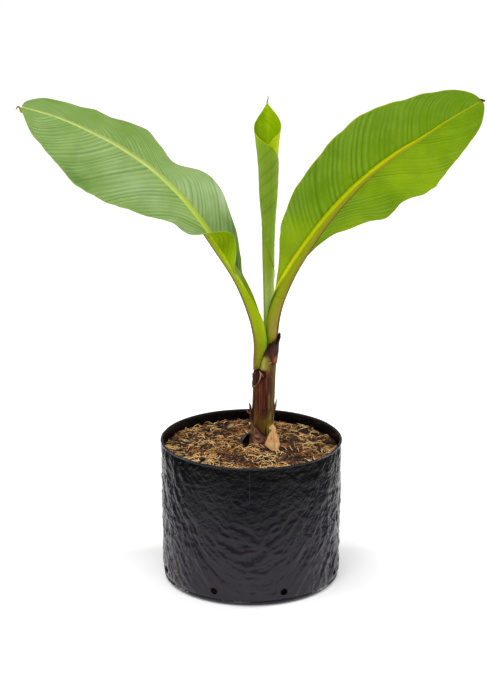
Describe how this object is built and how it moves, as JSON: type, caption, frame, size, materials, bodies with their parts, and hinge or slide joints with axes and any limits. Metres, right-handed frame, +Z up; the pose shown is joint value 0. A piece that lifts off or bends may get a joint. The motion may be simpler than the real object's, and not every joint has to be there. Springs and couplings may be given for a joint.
{
  "type": "banana plant in a planter bag",
  "caption": "Young banana plant with a brown pseudostem, open arching leaves and a rolled centre leaf, standing in a black polythene planter bag filled with coir mix.",
  "frame": {"origin": "centre of the planter bag's flat underside", "axes": "+Z up the plant; the front of the plant faces -Y; +X to the right seen from the front, towards the leaf that shows its underside"},
  "size_m": [0.6225, 0.2785, 0.732],
  "materials": {
    "bag_film": "crinkled black polythene film, satin to glossy",
    "potting_mix": "loose coir fibre, bark chips and peat",
    "stem_sheath": "smooth, brown and maroon with olive streaks",
    "dried_sheath": "dry, papery, dark brown",
    "dried_leaf": "dry, papery, tan",
    "leaf_stalk": "smooth, waxy, yellow-green",
    "leaf_rib": "smooth, waxy, pale yellow-green",
    "leaf_upper_side": "glossy green with fine side veins",
    "leaf_underside": "yellow-green, lit through, with fine side veins",
    "rolled_leaf": "satin green with fine slanting veins"
  },
  "bodies": {
    "root": {"planter_bag": "bag_film", "potting_mix": "potting_mix", "pseudostem": "stem_sheath", "foot_scale": "dried_sheath", "dried_collar": "dried_sheath", "torn_sheath_scrap": "dried_sheath", "tan_leaf_scrap": "dried_leaf", "dark_sheath_scrap": "dried_sheath", "left_spike": "dried_sheath", "right_spike": "dried_sheath", "rolled_leaf_stalk": "leaf_stalk", "rolled_leaf": "rolled_leaf", "right_petiole": "leaf_stalk", "right_midrib": "leaf_rib", "right_blade_upper": "leaf_underside", "right_blade_lower": "leaf_underside", "left_petiole": "leaf_stalk", "left_midrib": "leaf_rib", "left_blade_near": "leaf_upper_side", "left_blade_far": "leaf_upper_side"}
  },
  "joints": []
}
